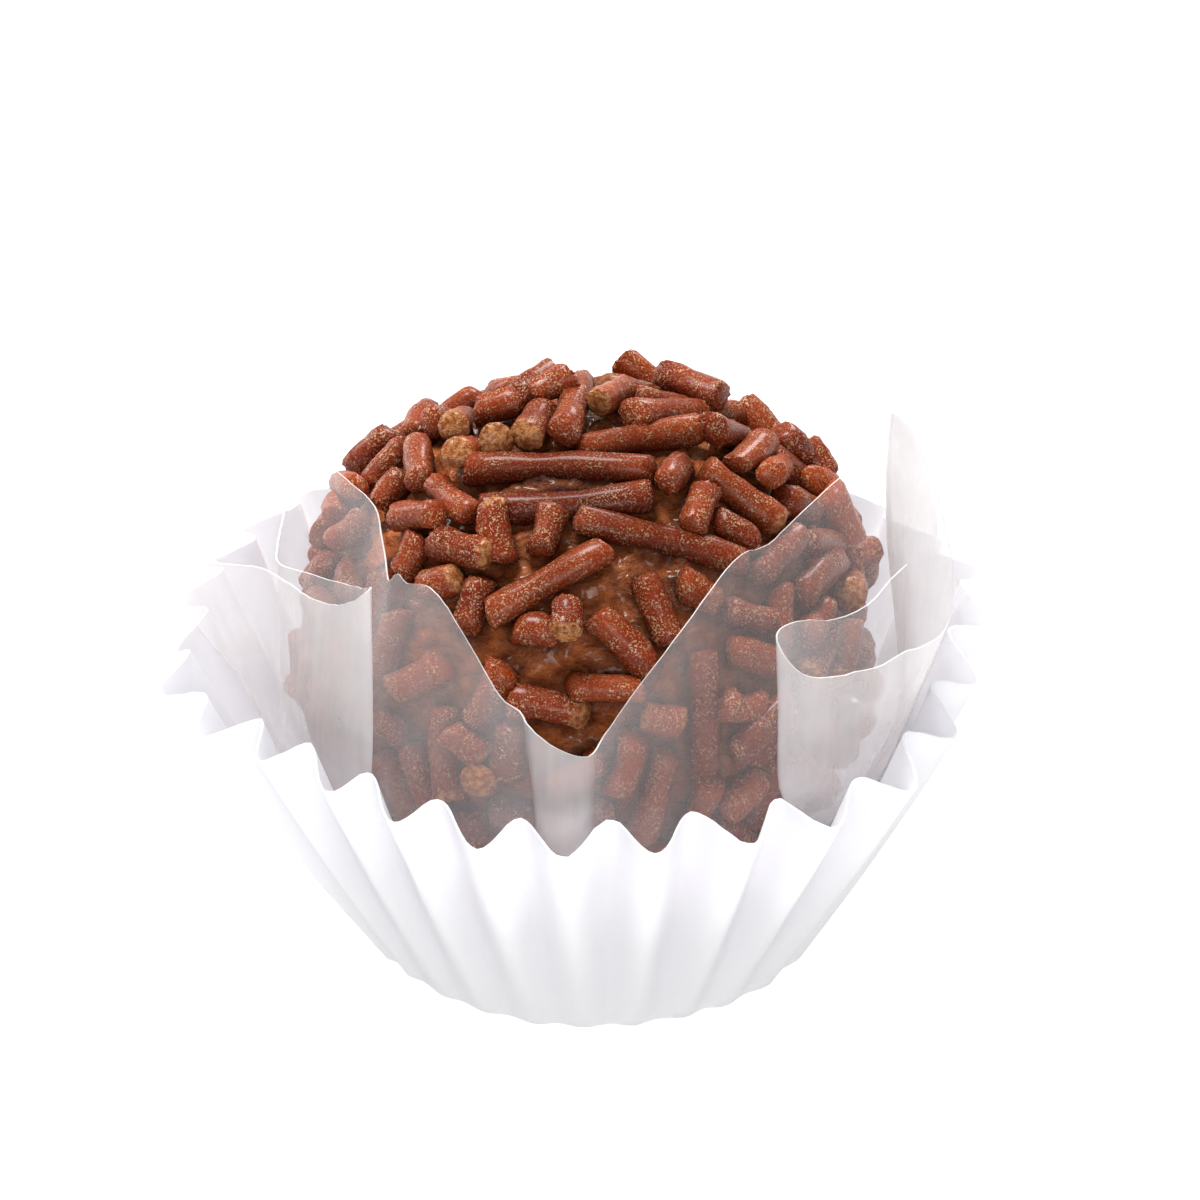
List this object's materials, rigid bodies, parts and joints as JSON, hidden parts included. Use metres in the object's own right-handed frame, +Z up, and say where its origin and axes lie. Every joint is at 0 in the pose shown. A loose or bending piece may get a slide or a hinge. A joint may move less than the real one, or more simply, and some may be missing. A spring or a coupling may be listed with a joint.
{
  "type": "brigadeiro in a paper case",
  "caption": "Chocolate fudge ball rolled in thick chocolate sprinkles, set in a clear film wrapper with open petals and a white fluted paper case.",
  "frame": {"origin": "middle of the flat underside of the paper case", "axes": "+Z up, -Y towards the front, where the wrapper parts over the sprinkles, +X to the right seen from the front"},
  "size_m": [0.0557, 0.0485, 0.0366],
  "materials": {
    "white_paper": "thin matt white paper pressed into flutes",
    "clear_film": "thin clear plastic film, glossy, slightly hazy where it lies over the chocolate",
    "chocolate": "milk chocolate sprinkles with a dull sheen and fine pale specks, over moist dark fudge"
  },
  "bodies": {
    "root": {"paper_case": "white_paper", "film_wrapper": "clear_film", "sprinkled_ball": "chocolate"}
  },
  "joints": []
}
